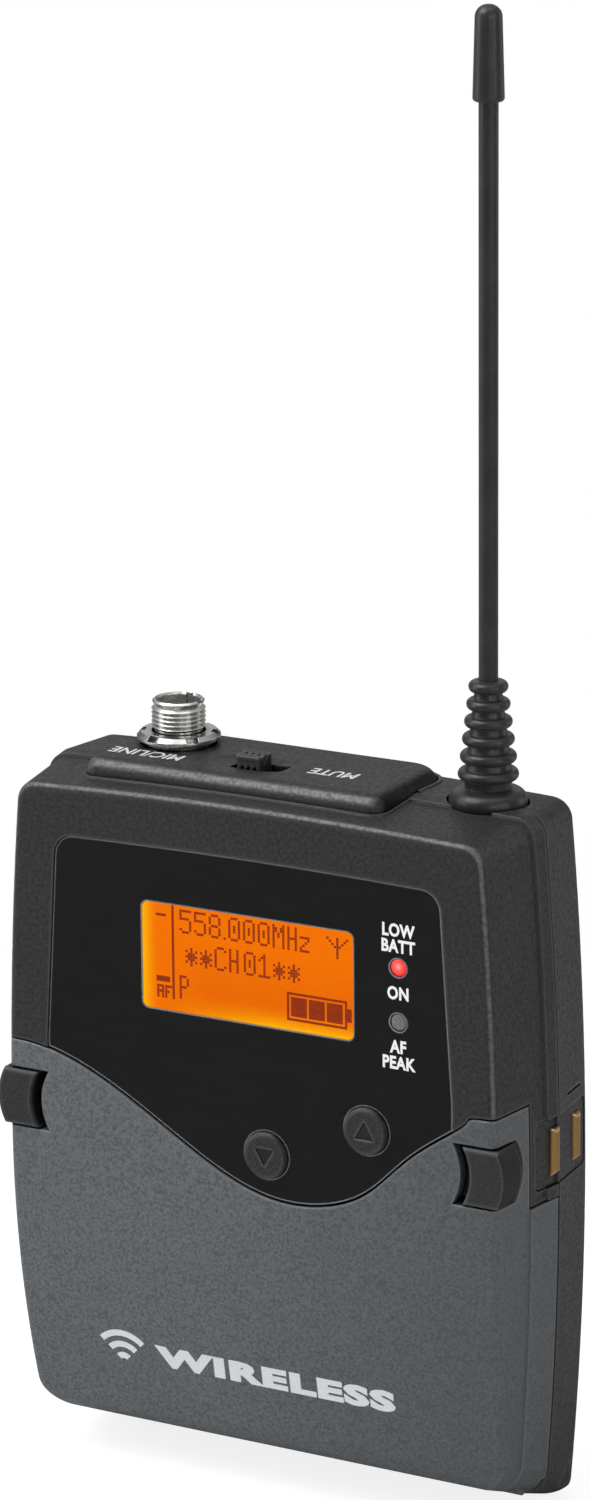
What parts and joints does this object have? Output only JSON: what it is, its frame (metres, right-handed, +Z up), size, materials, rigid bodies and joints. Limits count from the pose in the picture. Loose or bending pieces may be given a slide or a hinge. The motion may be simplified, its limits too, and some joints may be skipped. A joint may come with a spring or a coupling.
{
  "type": "wireless bodypack transmitter",
  "caption": "Belt-worn radio transmitter: rounded case, wave-edged battery door, backlit display, threaded microphone socket, sliding mute switch and whip antenna.",
  "frame": {"origin": "middle of the footprint, level with the lowest point of the case", "axes": "+Z up along the antenna, +Y from the display to the back, +X to the right as the display is read"},
  "size_m": [0.0646, 0.0244, 0.1664],
  "materials": {
    "case_plastic": "fine-grained dark charcoal",
    "rear_plastic": "fine-grained dark charcoal",
    "door_paint": "metallic blue-grey with fine sparkle",
    "gloss_black": "glossy black pane",
    "lcd_glass": "orange backlit display",
    "red_lens": "red lens",
    "grey_lens": "grey lens",
    "key_rubber": "matt dark keys",
    "foam": "black foam",
    "circuit_board": "green solder mask",
    "chip_epoxy": "black moulding compound",
    "tin_plate": "tin-plated sheet",
    "spring_steel": "drawn wire",
    "clip_steel": "black oxide sheet",
    "nickel": "nickel plate",
    "gilt": "gold plate",
    "antenna_rubber": "matt black",
    "liner_plastic": "matt black",
    "cell_jacket": "plain printed jacket",
    "ribbon_film": "amber film",
    "eye_lens": "deep red infrared filter",
    "switch_plastic": "grey"
  },
  "bodies": {
    "case": {"front_shell": "case_plastic", "rear_shell": "rear_plastic", "top_plate": "case_plastic", "display_window": "gloss_black", "window_gasket": "foam", "lcd_module": "lcd_glass", "display_board": "circuit_board", "red_lamp": "red_lens", "grey_lamp": "grey_lens", "front_switches": "switch_plastic", "key_board": "circuit_board", "inner_switches": "switch_plastic", "infrared_eye": "eye_lens", "hinge_pins": "spring_steel", "battery_tray": "liner_plastic", "lower_cell": "cell_jacket", "upper_cell": "cell_jacket", "cell_contacts": "nickel", "cell_springs": "spring_steel", "main_board": "circuit_board", "shield_can": "tin_plate", "board_chips": "chip_epoxy", "ribbon_cable": "ribbon_film", "mic_socket": "nickel", "socket_nut": "nickel", "socket_insert": "chip_epoxy", "socket_pins": "gilt", "mute_switch": "switch_plastic", "antenna_seat": "nickel", "antenna_boot": "antenna_rubber", "antenna_whip": "antenna_rubber", "antenna_cap": "antenna_rubber", "antenna_stud": "gilt", "feed_spring": "gilt", "contact_block": "liner_plastic", "charging_contacts": "gilt", "clip_rod": "spring_steel", "clip_caps": "rear_plastic", "case_screws": "clip_steel"},
    "door": {"battery_door": "door_paint", "door_liner": "liner_plastic", "latch_spring_left": "spring_steel", "latch_spring_right": "spring_steel"},
    "latch_left_body": {"latch_left": "key_rubber"},
    "latch_right_body": {"latch_right": "key_rubber"},
    "mute_knob_body": {"mute_knob": "key_rubber"},
    "up_key_body": {"up_key": "key_rubber"},
    "down_key_body": {"down_key": "key_rubber"},
    "set_key_body": {"set_key": "key_rubber"},
    "power_key_body": {"power_key": "key_rubber"},
    "clip": {"belt_clip": "clip_steel"}
  },
  "joints": [
    {"name": "door_hinge", "type": "hinge", "parent": "case", "child": "door", "pos_m": [0, -0.00113, 0.00388], "axis": [1, 0, 0], "range_deg": [0, 105]},
    {"name": "latch_left_press", "type": "slide", "parent": "door", "child": "latch_left_body", "axis": [1, 0, 0], "range_m": [0, 0.0011], "stiffness_N_per_m": 300, "springref_m": -0.001, "deforming": ["latch_spring_left"]},
    {"name": "latch_right_press", "type": "slide", "parent": "door", "child": "latch_right_body", "axis": [-1, 0, 0], "range_m": [0, 0.0011], "stiffness_N_per_m": 300, "springref_m": -0.001, "deforming": ["latch_spring_right"]},
    {"name": "mute_slide", "type": "slide", "parent": "case", "child": "mute_knob_body", "axis": [1, 0, 0], "range_m": [0, 0.0022]},
    {"name": "up_key_press", "type": "slide", "parent": "case", "child": "up_key_body", "axis": [0, 1, 0], "range_m": [0, 0.0005], "stiffness_N_per_m": 300, "springref_m": -0.0005},
    {"name": "down_key_press", "type": "slide", "parent": "case", "child": "down_key_body", "axis": [0, 1, 0], "range_m": [0, 0.0005], "stiffness_N_per_m": 300, "springref_m": -0.0005},
    {"name": "set_key_press", "type": "slide", "parent": "case", "child": "set_key_body", "axis": [0, 1, 0], "range_m": [0, 0.0004], "stiffness_N_per_m": 300, "springref_m": -0.0005},
    {"name": "power_key_press", "type": "slide", "parent": "case", "child": "power_key_body", "axis": [0, 1, 0], "range_m": [0, 0.0004], "stiffness_N_per_m": 300, "springref_m": -0.0005},
    {"name": "clip_hinge", "type": "hinge", "parent": "case", "child": "clip", "pos_m": [0, 0.00673, 0.00308], "axis": [-1, 0, 0], "range_deg": [0, 14], "stiffness_Nm_per_rad": 0.6, "springref_deg": -171.89}
  ]
}
